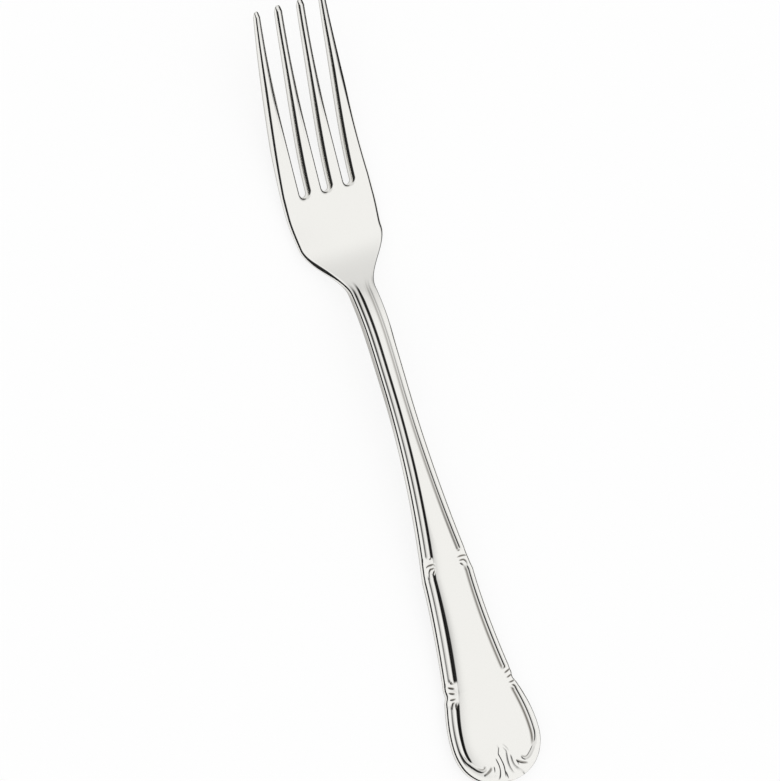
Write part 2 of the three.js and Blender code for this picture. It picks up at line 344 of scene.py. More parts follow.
# Each line: across from the middle, up from the heel, half width, depth. Curl, hook and leaf are cut in, and
# the others, with a depth below nought, stand up.
CURL_LINE = (
    (12.95, 13.4, 0.4, 0.0),
    (12.75, 12.3, 0.42, 0.08),
    (12.4, 11.0, 0.46, 0.11),
    (11.85, 9.75, 0.52, 0.14),
    (11.0, 8.4, 0.6, 0.17),
    (9.95, 7.2, 0.63, 0.18),
    (8.9, 6.1, 0.6, 0.18),
    (7.9, 5.5, 0.55, 0.18),
    (7.0, 5.45, 0.5, 0.17),
    (6.4, 5.85, 0.42, 0.13),
    (6.1, 6.5, 0.35, 0.0),
)
HOOK_LINE = (
    (9.5, 7.4, 0.28, 0.0),
    (8.7, 6.6, 0.32, 0.07),
    (7.9, 6.05, 0.34, 0.1),
    (7.1, 5.9, 0.34, 0.1),
    (6.45, 6.25, 0.32, 0.1),
    (6.0, 6.9, 0.28, 0.0),
)
LEAF_LINE = (
    (4.2, 6.1, 0.3, 0.0),
    (4.75, 5.2, 0.42, 0.12),
    (5.75, 4.55, 0.45, 0.14),
    (6.9, 4.1, 0.42, 0.1),
    (7.7, 3.85, 0.3, 0.0),
)
BUD_LINE = (
    (0.2, 11.6, 0.7, 0.0),
    (0.9, 11.1, 0.8, -0.05),
    (1.6, 10.2, 0.8, -0.06),
    (2.1, 9.2, 0.7, -0.04),
    (2.3, 8.4, 0.6, 0.0),
)
SHORT_PETAL_LINE = (
    (3.85, 6.0, 0.3, 0.0),
    (3.95, 5.2, 0.42, -0.09),
    (4.15, 4.4, 0.42, -0.07),
    (4.35, 3.8, 0.3, 0.0),
)
TALL_PETAL_LINE = (
    (0.3, 11.0, 0.4, 0.0),
    (0.8, 10.3, 0.45, -0.08),
    (1.4, 9.1, 0.55, -0.12),
    (1.25, 8.0, 0.6, -0.12),
    (1.05, 6.8, 0.65, -0.12),
    (0.95, 5.2, 0.75, -0.13),
    (1.2, 3.5, 0.85, -0.13),
    (1.5, 2.3, 0.9, -0.07),
    (1.7, 1.4, 0.9, 0.0),
)
SIDE_PETAL_LINE = (
    (2.55, 8.2, 0.35, 0.0),
    (2.5, 7.0, 0.55, -0.11),
    (2.4, 5.5, 0.7, -0.12),
    (2.65, 4.0, 0.85, -0.13),
    (3.4, 2.7, 1.0, -0.14),
    (4.4, 1.9, 1.0, -0.11),
    (5.4, 1.5, 0.9, 0.0),
)
for line, lean, shade_share in (
    (CURL_LINE, CURL_LEAN, CURL_SHADE),
    (HOOK_LINE, 0.0, HOOK_SHADE),
    (LEAF_LINE, 0.0, LEAF_SHADE),
    (BUD_LINE, 0.0, 0.0),
    (SHORT_PETAL_LINE, PETAL_LEAN, 0.0),
    (TALL_PETAL_LINE, PETAL_LEAN, 0.0),
    (SIDE_PETAL_LINE, PETAL_LEAN, 0.0),
):
    across, up, half, deep = struck_line(line)
    struck_lines.append((across, HEEL_Y + up, half, deep, lean, shade_share))

# Skin of the blank
# The struck and polished surface of the one piece. A fine grid of rows and columns covers the face from the
# heel to the slot roots and goes on up each tine, and its edge turns over in steps to the plain back.
END_ROWS = 150
ROOT_ZONE = 12.0
# Where each stretch of rows starts, and how far apart they are in it.
ROW_STEPS = (
    (WIDEST_Y, 0.35),
    (LOWER_TIE_Y - 6.0, 0.12),
    (LOWER_TIE_Y + 6.5, 0.7),
    (UPPER_TIE_Y, 0.12),
    (UPPER_TIE_Y + 8.0, 0.7),
    (HANDLE_TOP_Y, 0.8),
    (STEM_TOP_Y, 0.6),
    (NECK_TOP_Y, 0.5),
    (ROOT_Y - ROOT_ZONE, 0.4),
    (ROOT_Y, 0.4),
)
# The edge's way out follows the outline's slope on the palm, this far from its cuts, and is square elsewhere.
CUT_CLEARANCE = 0.1

turn = np.linspace(math.pi / 2, 0, END_ROWS + 1)
end_across = np.cos(turn) ** (2 / END_POWER)
end_along = np.sin(turn) ** (2 / END_POWER)
out_x = end_across ** (END_POWER - 1) / (HANDLE_WIDTH / 2)
out_y = -(end_along ** (END_POWER - 1)) / END_LENGTH
out_length = np.hypot(out_x, out_y)
straight_y = []
for (start, step), (end, _) in zip(ROW_STEPS[:-1], ROW_STEPS[1:]):
    straight_y.extend(np.linspace(start, end, max(2, round((end - start) / step) + 1))[:-1])
straight_y = np.array(straight_y[1:] + [ROOT_Y])
sloping = (straight_y > NECK_TOP_Y + CUT_CLEARANCE) & (straight_y < ROOT_Y - CUT_CLEARANCE)
slope = np.where(sloping, np.gradient(half_width(straight_y), straight_y), 0.0)
edge_x = np.concatenate([end_across * HANDLE_WIDTH / 2, half_width(straight_y)])[:, None]
edge_y = np.concatenate([WIDEST_Y - END_LENGTH * end_along, straight_y])[:, None]
out_x = np.concatenate([out_x / out_length, 1 / np.hypot(1, slope)])[:, None]
out_y = np.concatenate([out_y / out_length, -slope / np.hypot(1, slope)])[:, None]
ROOT_ROW = len(edge_y) - 1
ROWS = ROOT_ROW + 1 + TINE_ROWS + TIP_ROWS

# Border columns, from the edge inwards: even steps on the handle, even lanes on the head. On the handle they
# span this much of the border's width, and at most that share of half the fork's.
BORDER_SPAN = 1.2
WIDEST_SPAN = 0.9
on_head = ease(share(edge_y, STEM_TOP_Y + 8, SHOULDER_Y))
reach = between(HANDLE_EDGE_REACH, HEAD_EDGE_REACH, on_head)
inwards = np.linspace(0, 1, OUTER_CELLS + 1)[None, :]
border = border_section(edge_y)[0]
span = np.minimum(border * BORDER_SPAN, WIDEST_SPAN * edge_x + (edge_y < WIDEST_Y) * border)
slot_ring = SLOT_ROOT_WIDTH / 2 + HEAD_EDGE_REACH
lane_edge = (SLOT_SPACING + slot_ring) * (edge_x - reach) / (PALM_WIDTH / 2 - HEAD_EDGE_REACH)
depth = between(
    between(reach, span, inwards),
    between(reach, edge_x - lane_edge, inwards),
    on_head,
)
side_x = edge_x - out_x * depth
side_y = edge_y - out_y * depth

# Panel columns: evenly closer towards the middle on the handle, slots and inner tines on the head
PANEL_EVENNESS = 0.5
head_columns = []
for lane in range(1, 6):
    part = np.arange(LANE_CELLS[lane]) / LANE_CELLS[lane]
    if lane in SLOT_LANES:
        head_columns.extend((lane - 3) / 2 * SLOT_SPACING - slot_ring * np.cos(math.pi * part))
    else:
        left = (lane - 4) / 2 * SLOT_SPACING + slot_ring
        head_columns.extend(left + (SLOT_SPACING - 2 * slot_ring) * part)
head_columns = np.array(head_columns[1:])[None, :] / (SLOT_SPACING + slot_ring)
even = np.linspace(-1, 1, LANES[6] - LANES[1] + 1)[None, 1:-1]
handle_columns = PANEL_EVENNESS * even + (1 - PANEL_EVENNESS) * even**3
panel_x = side_x[:, -1:] * between(handle_columns, head_columns, on_head)

x = np.zeros((ROWS, COLUMNS))
y = np.zeros((ROWS, COLUMNS))
inside = np.zeros((ROWS, COLUMNS))
body = slice(0, ROOT_ROW + 1)
x[body] = np.hstack([-side_x, panel_x, side_x[:, ::-1]])
y[body] = np.hstack([side_y, np.repeat(side_y[:, -1:], panel_x.shape[1], axis=1), side_y[:, ::-1]])
inside[body] = np.hstack([depth, np.repeat(depth[:, -1:], panel_x.shape[1], axis=1), depth[:, ::-1]])
for lane in SLOT_LANES:
    columns = slice(LANES[lane], LANES[lane + 1] + 1)
    round_root = slot_ring * np.sin(np.linspace(0, math.pi, SLOT_CELLS + 1))
    y[body, columns] -= round_root[None, :] * share(edge_y, ROOT_Y - ROOT_ZONE, ROOT_Y)

# Tine columns, drawn in to a rounded tip
tine_y = np.linspace(ROOT_Y, TIP_Y - TIP_ROUND, TINE_ROWS + 1)[1:]
tip_turn = np.linspace(0, math.pi / 2, TIP_ROWS + 1)[1:]
tine_reach = {}
for lane in TINE_LANES:
    columns = slice(LANES[lane], LANES[lane + 1] + 1)
    across = np.linspace(-1, 1, LANE_CELLS[lane] + 1)[None, :]
    left, right = tine_sides(lane, np.append(tine_y, np.full(TIP_ROWS, TIP_Y - TIP_ROUND)))
    half = (right - left) / 2
    tine_reach[lane] = np.minimum(HEAD_EDGE_REACH, TIP_EDGE_SHARE * half)
    narrowing = np.append(np.ones(TINE_ROWS), np.cos(tip_turn))
    lane_half = (half - tine_reach[lane]) * narrowing
    x[ROOT_ROW + 1 :, columns] = ((left + right) / 2)[:, None] + lane_half[:, None] * across
    tip_y = TIP_Y - TIP_ROUND + (TIP_ROUND - tine_reach[lane][-1]) * np.sin(tip_turn)
    y[ROOT_ROW + 1 :, columns] = np.append(tine_y, tip_y)[:, None]

# Relief of the face: the threads, plain slopes where they stop, and the lines struck into them. Alongside it
# goes how much shade is painted at each point, a dark grey in the groove, on the flanks and in the struck
# lines.
# A struck line gets its full painted shade at this depth, and less, by this power, where it is shallower.
FULL_SHADE_DEPTH = 0.1
SHADE_POWER = 1.5
threads = 1 - ease(share(y, THREADS_FULL_Y, THREADS_START_Y))
bare = np.zeros_like(y)
for bottom, top in TIE_SPANS:
    window = ease(share(y, bottom - TIE_FADE, bottom)) * ease(share(y, top + TIE_FADE, top))
    bare = np.maximum(bare, window)
end_rows = slice(0, END_ROWS + 1)
bare[end_rows] = ease(share(edge_x[end_rows], CURL_START_X, CURL_FULL_X))
border_foot, crest_in, crest, groove, flank_shade_amount, margin_rise = border_section(y)
shift = STRIKE_SHIFT * share(y, FLARE_Y, UPPER_TIE_Y)
struck_in = inside + np.sign(x) * shift
relief = thread_height(struck_in, border_foot, crest_in, crest, groove)
relief = between(relief, tie_height(struck_in, border_foot), bare)
near_heel = share(y, LOWER_TIE_Y, WIDEST_Y)
# A band of painted shade on the flank and one along the groove, left out where the threads stop.
flank_shade_in = between(crest_in, border_foot, between(*FLANK_PAINTED_SHADE_PLACES, near_heel))
flank_shade_band = flank_shade_amount * np.exp(-(((struck_in - flank_shade_in) / FLANK_PAINTED_SHADE_WIDTH) ** 2))
groove_shade_band = GROOVE_PAINTED_SHADE * np.exp(-(((struck_in - GROOVE_IN) / GROOVE_PAINTED_SHADE_WIDTH) ** 2))
painted_shade = (groove_shade_band + flank_shade_band) * (1 - bare)
struck_x = np.abs(x - shift)
for line_x, line_y, line_half, line_depth, lean, shade_share in struck_lines:
    margin = line_half.max()
    near = (y > line_y.min() - margin) & (y < line_y.max() + margin)
    near &= (struck_x > line_x.min() - margin) & (struck_x < line_x.max() + margin)
    near[ROOT_ROW:] = False
    across = struck_x[near][:, None] - line_x[None, :]
    gap = np.hypot(across, y[near][:, None] - line_y[None, :])
    closest = np.argmin(gap, axis=1)
    pick = np.arange(len(closest)), closest
    aside = np.clip(gap[pick] / line_half[closest] * np.sign(across[pick]), -1, 1) - lean
    aside = aside / np.where(aside > 0, 1 - lean, 1 + lean)
    cut = line_depth[closest] * np.cos(math.pi / 2 * aside)
    relief[near] -= cut
    painted_shade[near] = np.maximum(painted_shade[near], shade_share * share(cut, 0, FULL_SHADE_DEPTH) ** SHADE_POWER)
sunk = ease(share(y, SINK_START_Y, SINK_FULL_Y))
relief = relief * threads - PANEL_SINK * sunk
painted_shade = np.clip(painted_shade * threads, 0, 1)
painted_shade[ROOT_ROW:] = 0
relief[ROOT_ROW:] = 0

# Heights of face and back. The panel's margins rise towards both edges and leave its middle where it is.
BACK_CROWN = 0.2
half_here = half_width(np.clip(y, WIDEST_Y, TIP_Y)) + tie_waist(y)
out_from_middle = np.clip(np.abs(x) / half_here, 0, 1)
head = ease(share(y, NECK_TOP_Y, ROOT_Y))
past_widest = np.clip((WIDEST_Y - y) / END_LENGTH, 0, 1)
out_in_end = (out_from_middle**END_POWER + past_widest**END_POWER) ** (1 / END_POWER)
panel_dish = np.zeros_like(y)
for part, from_edge in (
    (1, half_here * (1 - out_in_end)),
    (1, half_here * (1 + out_from_middle)),
    (-2, half_here),
):
    panel_dish += part * margin_rise * (1 - share(from_edge - border_foot, 0, PANEL_MARGIN)) ** 2
dish = between(panel_dish * threads, PALM_DISH * out_from_middle**2, head)
face = underside(y) + thickness(y) + relief + dish * (1 - ease(share(y, DISH_FADE_Y, TIP_Y)))
back = underside(y) + BACK_CROWN * out_from_middle**2 * ease(share(y, WIDEST_Y + 4, LOWER_TIE_Y + 10))
back -= TINE_EXTRA_THICKNESS * ease(share(y, FULL_TINE_Y, TIP_Y))
blunt = between(1.0, TIP_BLUNTNESS, ease(np.sin(tip_turn)))[:, None]
for lane in TINE_LANES:
    columns = slice(LANES[lane], LANES[lane + 1] + 1)
    across = np.linspace(-1, 1, LANE_CELLS[lane] + 1)[None, :]
    crown = TINE_CROWN * ease(share(y[ROOT_ROW:, columns], ROOT_Y, FULL_TINE_Y)) * across**4
    face[ROOT_ROW:, columns] -= crown
    top = face[-TIP_ROWS:, columns]
    bottom = back[-TIP_ROWS:, columns]
    middle = (top + bottom) / 2
    face[-TIP_ROWS:, columns] = middle + (top - middle) * blunt
    back[-TIP_ROWS:, columns] = middle + (bottom - middle) * blunt

# Vertex numbers: the heel's row folds onto the middle line, and each tine ends in one point
numbers = np.arange(ROWS * COLUMNS).reshape(ROWS, COLUMNS)
numbers[0, LANES[1] : LANES[6] + 1] = numbers[0, LANES[1]]
numbers[0, LANES[6] :] = numbers[0, LANES[1] :: -1]
for lane in TINE_LANES:
    numbers[-1, LANES[lane] : LANES[lane + 1] + 1] = numbers[-1, LANES[lane]]
back_numbers = numbers + ROWS * COLUMNS
back_x = x.copy()
back_y = y.copy()

# Rim of the face: at each vertex the way out, how far the edge reaches along it, how far its wall leans out
# further, and how far in and up the back's rounding goes
HANDLE_BACK_REACH = 2.8
HANDLE_BACK_RISE = 1.8
HEAD_BACK_REACH = 1.6
HEAD_BACK_RISE = 1.3
TINE_BACK_RISE = 0.5
rim = {}
side_back_reach = between(HANDLE_BACK_REACH, HEAD_BACK_REACH, on_head)[:, 0]
side_back_rise = between(HANDLE_BACK_RISE, HEAD_BACK_RISE, on_head)[:, 0]
climb = np.gradient(underside(edge_y[:, 0]) + thickness(edge_y[:, 0]), edge_y[:, 0]) * out_y[:, 0]
climb[: END_ROWS + 1] = 0
for row in range(ROOT_ROW + 1):
    for column, side in ((0, -1), (COLUMNS - 1, 1)):
        way = (side * out_x[row, 0], out_y[row, 0], climb[row])
        rim[row, column] = (way, reach[row, 0], 0.0, side_back_reach[row], side_back_rise[row])
for lane in SLOT_LANES:
    for step in range(SLOT_CELLS + 1):
        angle = math.pi * step / SLOT_CELLS
        way = (math.cos(angle), math.sin(angle), 0.0)
        root_edge = (way, HEAD_EDGE_REACH, TINE_DRAFT, HEAD_EDGE_REACH, TINE_BACK_RISE)
        rim[ROOT_ROW, LANES[lane] + step] = root_edge
for lane in TINE_LANES:
    for row in range(ROOT_ROW + 1, ROWS):
        lane_reach = tine_reach[lane][row - ROOT_ROW - 1]
        angle = 0.0 if row <= ROOT_ROW + TINE_ROWS else tip_turn[row - ROOT_ROW - TINE_ROWS - 1]
        half_inset = (x[ROOT_ROW + TINE_ROWS, LANES[lane + 1]] - x[ROOT_ROW + TINE_ROWS, LANES[lane]]) / 2
        way = Vector((math.cos(angle) / half_inset, math.sin(angle) / (TIP_ROUND - lane_reach))).normalized()
        row_y = y[row, LANES[lane]]
        full_tine = float(share(row_y, ROOT_Y, FULL_TINE_Y))
        slimmed = (1 - TINE_DRAFT_LOSS * float(share(row_y, ROOT_Y, TIP_Y))) * math.cos(angle)
        for column, side in ((LANES[lane], -1), (LANES[lane + 1], 1)):
            outer = column in (0, COLUMNS - 1)
            draft = TINE_DRAFT * slimmed * (full_tine if outer else 1.0)
            rise = between(HEAD_BACK_RISE, TINE_BACK_RISE, full_tine) if outer else TINE_BACK_RISE
            rim[row, column] = ((side * way.x, way.y, 0.0), lane_reach, draft, lane_reach, rise)

# Edges in section: each is a quarter of a rounded square, from a bevel at a power near 1 to a corner at 6.
# They are fitted to the lines that the picture shows: crisp on the right of neck, shoulder and heel and at the
# slot roots, bevelled on the left shoulder, and flatter up the right of each tine, with a share of the drop.
HEAD_EDGE_POWER = 1.8
HANDLE_EDGE_POWER = 1.6
CRISP_EDGE_POWER = 6.0
BEVEL_EDGE_POWER = 1.25
SLOT_EDGE_POWER = 1.45
TIP_EDGE_POWER = 1.75
ROOT_EDGE_POWER = 4.0
ROOT_EDGE_ROWS = TINE_ROWS * 2 // 3
INNER_TINE_EDGE_POWER = 1.5
INNER_TINE_DROP = 0.6
OUTER_TINE_EDGE_POWER = 1.35
OUTER_TINE_DROP = 0.42
TINE_LEFTS = (LANES[2], LANES[4], LANES[6])
TINE_RIGHTS = (LANES[1], LANES[3], LANES[5])
crisp = ease(share(y, STEM_TOP_Y - 2, STEM_TOP_Y + 14)) * ease(share(y, SHOULDER_Y + 2, SHOULDER_Y - 6))
crisp += ease(share(y, LOWER_TIE_Y - 2, WIDEST_Y)) * ease(share(x, 0, 5))
bevel = ease(share(y, NECK_TOP_Y + 4, NECK_TOP_Y + 10)) * ease(share(y, SHOULDER_Y - 0.5, SHOULDER_Y - 6))
up_tine = ease(share(y, ROOT_Y + 6, ROOT_Y + 30)) * share(y, TIP_Y - 0.6, TIP_Y - TIP_ROUND)


def edge_section(row, column):
    """A front edge's power, and the share of its drop that is left."""
    power = between(HANDLE_EDGE_POWER, HEAD_EDGE_POWER, float(head[row, column]))
    part = float(up_tine[row, column])
    if column == COLUMNS - 1:
        power = between(power, CRISP_EDGE_POWER, float(crisp[row, column]))
        return between(power, OUTER_TINE_EDGE_POWER, part), between(1.0, OUTER_TINE_DROP, part)
    if column == 0:
        return between(power, BEVEL_EDGE_POWER, float(bevel[row, column])), 1.0
    if column in TINE_LEFTS:
        return between(SLOT_EDGE_POWER, TIP_EDGE_POWER, part), 1.0
    if ROOT_ROW <= row < ROOT_ROW + ROOT_EDGE_ROWS:
        round_root = (column - LANES[1]) % (SLOT_CELLS + INNER_CELLS) / SLOT_CELLS
        power = between(ROOT_EDGE_POWER, SLOT_EDGE_POWER, ease(round_root))
    if column in TINE_RIGHTS:
        return between(power, INNER_TINE_EDGE_POWER, part), between(1.0, INNER_TINE_DROP, part)
    return power, 1.0


# Edge chains: from each rim vertex over the front edge, down the wall and round to the back. Painted shade
# lies on the stem's sides, from the last third of the front edge down, and along the foot of every wall, a
# dark grey standing in for the reflection of the shaded table below them.
FRONT_STEPS = 8
WALL_STEPS = 2
BACK_STEPS = 8
EDGE_STEPS = FRONT_STEPS + WALL_STEPS + BACK_STEPS
FRONT_GAUGE_SHARE = 0.42
BACK_GAUGE_SHARE = 0.56
# Painted shade at the foot of each wall and on the stem's sides, for the shaded table that the steel mirrors
# there.
FOOT_SHADE = 0.7
STEM_SIDE_SHADE = 0.6
stem_side = ease(share(y, FLARE_Y - 20, FLARE_Y)) * ease(share(y, NECK_TOP_Y + 6, NECK_TOP_Y - 2))
chain_points = []
chain_shade = []
chains = {}
chain_of_number = {}
for (row, column), (way, edge_reach, draft, inset, rise) in rim.items():
    number = int(numbers[row, column])
    if number not in chain_of_number:
        start = np.array((x[row, column], y[row, column], face[row, column]))
        way = np.array(way)
        level = way * (1, 1, 0)
        outermost = start + level * (edge_reach + draft)
        last = outermost - level * inset
        last[2] = back[row, column]
        back_x[row, column], back_y[row, column] = last[:2]
        gauge = start[2] - last[2]
        power, drop_share = edge_section(row, column)
        drop = min(edge_reach, FRONT_GAUGE_SHARE * gauge) * drop_share
        rise = min(rise, BACK_GAUGE_SHARE * gauge)
        side_shade = STEM_SIDE_SHADE * float(stem_side[row, column])
        wall_top = start + way * edge_reach - (0, 0, drop)
        wall_foot = np.array((outermost[0], outermost[1], last[2] + rise))
        first = 2 * ROWS * COLUMNS + len(chain_points)
        for step in range(1, FRONT_STEPS + 1):
            angle = math.pi / 2 * step / FRONT_STEPS
            down = (0, 0, drop * (1 - math.cos(angle) ** (2 / power)))
            chain_points.append(start + way * edge_reach * math.sin(angle) ** (2 / power) - down)
            chain_shade.append(side_shade * max(0, 3 * step / FRONT_STEPS - 2))
        for step in range(1, WALL_STEPS + 1):
            chain_points.append(wall_top + (wall_foot - wall_top) * step / WALL_STEPS)
            chain_shade.append(FOOT_SHADE if step == WALL_STEPS else side_shade)
        for step in range(1, BACK_STEPS):
            angle = math.pi / 2 * step / BACK_STEPS
            up = (0, 0, rise * (1 - math.sin(angle)))
            chain_points.append(last + level * inset * math.cos(angle) + up)
            chain_shade.append(FOOT_SHADE * (1 - step / BACK_STEPS))
        steps = list(range(first, first + EDGE_STEPS - 1))
        chain_of_number[number] = [number] + steps + [int(back_numbers[row, column])]
    chains[row, column] = chain_of_number[number]

points = np.vstack(
    [
        np.stack([x, y, face], axis=-1).reshape(-1, 3),
        np.stack([back_x, back_y, back], axis=-1).reshape(-1, 3),
        np.array(chain_points),
    ]
)
point_painted_shade = np.concatenate([painted_shade.ravel(), np.zeros(back.size), chain_shade])

# Faces by zone, each with its corners in order seen from outside
ZONE_TOPS = (("handle", HANDLE_TOP_Y), ("stem", STEM_TOP_Y), ("neck", NECK_TOP_Y), ("palm", ROOT_Y))
TINES = ("tine_1", "tine_2", "tine_3", "tine_4")
back_columns = []
for lane in range(7):
    stride = 1 if lane in SLOT_LANES else LANE_CELLS[lane]
    back_columns.extend(range(LANES[lane], LANES[lane + 1], stride))
back_columns.append(COLUMNS - 1)
zone_faces = {name: [] for name, _ in ZONE_TOPS}
zone_faces.update({name: [] for name in TINES})


def add_face(zone, corners):
    """Adds a face to a zone, without the corners that have run together."""
    kept = [corner for place, corner in enumerate(corners) if corner != corners[place - 1]]
    if len(set(kept)) > 2:
        zone_faces[zone].append(kept)


def add_patch(zone, rows, first, last):
    """Face and back quads of some rows between two columns."""
    behind = [column for column in back_columns if first <= column <= last]
    for row in rows:
        for column in range(first, last):
            near = numbers[row, column : column + 2].tolist()
            far = numbers[row + 1, column : column + 2].tolist()
            add_face(zone, [near[0], near[1], far[1], far[0]])
        for left, right in zip(behind[:-1], behind[1:]):
            near = (int(back_numbers[row, left]), int(back_numbers[row, right]))
            far = (int(back_numbers[row + 1, left]), int(back_numbers[row + 1, right]))
            add_face(zone, [far[0], far[1], near[1], near[0]])


def add_edge(zone, start, end):
    """The turned-over edge between two rim vertices, in the order that goes round the face's left."""
    for step in range(EDGE_STEPS):
        upper = (chains[end][step], chains[start][step])
        lower = (chains[start][step + 1], chains[end][step + 1])
        add_face(zone, [*upper, *lower])


first_row = 0
for name, top in ZONE_TOPS:
    last_row = int(np.argmin(np.abs(edge_y[END_ROWS:, 0] - top))) + END_ROWS
    add_patch(name, range(first_row, last_row), 0, COLUMNS - 1)
    for row in range(first_row, last_row):
        add_edge(name, (row, COLUMNS - 1), (row + 1, COLUMNS - 1))
        add_edge(name, (row + 1, 0), (row, 0))
    first_row = last_row
for lane in SLOT_LANES:
    for column in range(LANES[lane], LANES[lane + 1]):
        add_edge("palm", (ROOT_ROW, column + 1), (ROOT_ROW, column))
for name, lane in zip(TINES, TINE_LANES):
    first, last = LANES[lane], LANES[lane + 1]
    add_patch(name, range(ROOT_ROW, ROWS - 1), first, last)
    for row in range(ROOT_ROW, ROWS - 1):
        add_edge(name, (row, last), (row + 1, last))
        add_edge(name, (row + 1, first), (row, first))

# Normals of the whole skin, so that light runs over the zones' seams without a break
normals = np.zeros_like(points)
for corners in (corners for faces in zone_faces.values() for corners in faces):
    place = points[corners]
    normal = np.cross(place[2] - place[0], place[-1] - place[1])
    normals[corners] += normal
normals /= np.maximum(np.linalg.norm(normals, axis=1, keepdims=True), 1e-12)

# Polished steel
# Stainless steel, struck bright and mirror-polished on mops, then used and washed. The eye gets a pale warm
# mirror, softened by hair-fine polishing lines and faint smears, with shade painted in as a dark grey, on a
# rougher finish, in the grooves, flanks, struck lines, wall feet and the stem's sides.
POLISH_COLOUR = "#F1F0EC"
# The dark grey that is painted into the steel as shade, and the rougher finish laid with it.
PAINTED_SHADE_COLOUR = "#77736C"
POLISH_ROUGHNESS = 0.07
SMEAR_ROUGHNESS = 0.13
PAINTED_SHADE_ROUGHNESS = 0.2
# Real polishing lines are about 0.02 mm apart. They are drawn 0.2 mm apart, so that they show.
POLISH_LINE = 0.2 * MM
POLISH_LINE_LENGTH = 12 * MM
POLISH_LINE_DEPTH = 0.01 * MM
POLISH_LINE_STRENGTH = 0.06
SMEAR_SIZE = 14 * MM
SMEAR_START = 0.35
SMEAR_FULL = 0.7


def linear(colour):
    """A hex colour as Blender's linear red, green, blue and alpha."""
    channels = [int(colour[place : place + 2], 16) / 255 for place in (1, 3, 5)]
    return [c / 12.92 if c <= 0.04045 else ((c + 0.055) / 1.055) ** 2.4 for c in channels] + [1.0]


def node(tree, kind, settings=None, **links):
    """Adds a shader node with its settings. Links set or feed its inputs, by name or as i and a number."""
    made = tree.nodes.new(kind)
    for name, value in (settings or {}).items():
        setattr(made, name, value)
    for name, value in links.items():
        socket = made.inputs[int(name[1:])] if name[0] == "i" and name[1:].isdigit() else None
        socket = socket or made.inputs[name.replace("_", " ")]
        if isinstance(value, bpy.types.NodeSocket):
            tree.links.new(value, socket)
        else:
            socket.default_value = value
    return made


steel = bpy.data.materials.new("polished_stainless_steel")
steel.use_nodes = True
tree = steel.node_tree
tree.nodes.clear()
place = node(tree, "ShaderNodeTexCoord").outputs["Object"]
lines_place = node(
    tree,
    "ShaderNodeMapping",
    Vector=place,
    Scale=(1 / POLISH_LINE, 1 / POLISH_LINE_LENGTH, 1 / POLISH_LINE),
).outputs["Vector"]
lines = node(tree, "ShaderNodeTexNoise", Vector=lines_place, Scale=1.0, Detail=3.0).outputs["Fac"]
smears = node(tree, "ShaderNodeTexNoise", Vector=place, Scale=1 / SMEAR_SIZE, Detail=4.0).outputs["Fac"]
# The map of painted shade from the skin: it mixes the dark grey into the colour and roughens the finish.
shade_share = node(tree, "ShaderNodeAttribute", {"attribute_name": "painted_shade"}).outputs["Fac"]
colour = node(
    tree,
    "ShaderNodeMix",
    {"data_type": "RGBA"},
    i0=shade_share,
    i6=linear(POLISH_COLOUR),
    i7=linear(PAINTED_SHADE_COLOUR),
).outputs[2]
polish = node(
    tree,
    "ShaderNodeMapRange",
    Value=smears,
    From_Min=SMEAR_START,
    From_Max=SMEAR_FULL,
    To_Min=POLISH_ROUGHNESS,
    To_Max=SMEAR_ROUGHNESS,
).outputs["Result"]
roughness = node(tree, "ShaderNodeMix", i0=shade_share, i2=polish, i3=PAINTED_SHADE_ROUGHNESS).outputs[0]
bump = node(
    tree,
    "ShaderNodeBump",
    Strength=POLISH_LINE_STRENGTH,
    Distance=POLISH_LINE_DEPTH,
    Height=lines,
).outputs["Normal"]
surface = node(
    tree,
    "ShaderNodeBsdfPrincipled",
    Base_Color=colour,
    Metallic=1.0,
    Roughness=roughness,
    Normal=bump,
).outputs["BSDF"]
node(tree, "ShaderNodeOutputMaterial", Surface=surface)

# Zones
# The finished skin is parted where the CAD parts the blank, into four tines, palm, neck, stem and handle.
# Each zone is closed with a flat cut, and keeps the whole fork's normals at its seams.
for name, faces in zone_faces.items():
    used, corner_numbers = np.unique([corner for corners in faces for corner in corners], return_inverse=True)
    mesh = bpy.data.meshes.new("polished_" + name)
    numbered = iter(corner_numbers.ravel().tolist())
    mesh.from_pydata(points[used] * MM, [], [[next(numbered) for _ in corners] for corners in faces])
    skin_faces = len(mesh.polygons)
    shape = bmesh.new()
    shape.from_mesh(mesh)
    bmesh.ops.holes_fill(shape, edges=[edge for edge in shape.edges if edge.is_boundary], sides=0)
    shape.to_mesh(mesh)
    shape.free()
    mesh.polygons.foreach_set("use_smooth", [polygon.index < skin_faces for polygon in mesh.polygons])
    corner_normals = []
    for polygon in mesh.polygons:
        for corner in polygon.loop_indices:
            number = used[mesh.loops[corner].vertex_index]
            corner_normals.append(normals[number] if polygon.index < skin_faces else polygon.normal)
    mesh.normals_split_custom_set(corner_normals)
    mesh.attributes.new("painted_shade", "FLOAT", "POINT").data.foreach_set("value", point_painted_shade[used])
    mesh.materials.append(steel)
    zone = bpy.data.objects.new("polished_" + name, mesh)
    bpy.context.scene.collection.objects.link(zone)
    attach(zone, "root")
    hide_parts(name)

# Studio
# A white table under a white tent that is open on both sides, so that the steel shows white with dark lines
# where it turns to the sides. The camera stands high on the fork's left and looks through a long lens.
FLOOR_COLOUR = "#FDFDFD"
FLOOR_SIZE = 24.0
# How much of the table's shadow the camera and the steel don't see, so that the table stays white.
SHADOW_LIFT = 0.8
MIRRORED_SHADOW_LIFT = 0.65

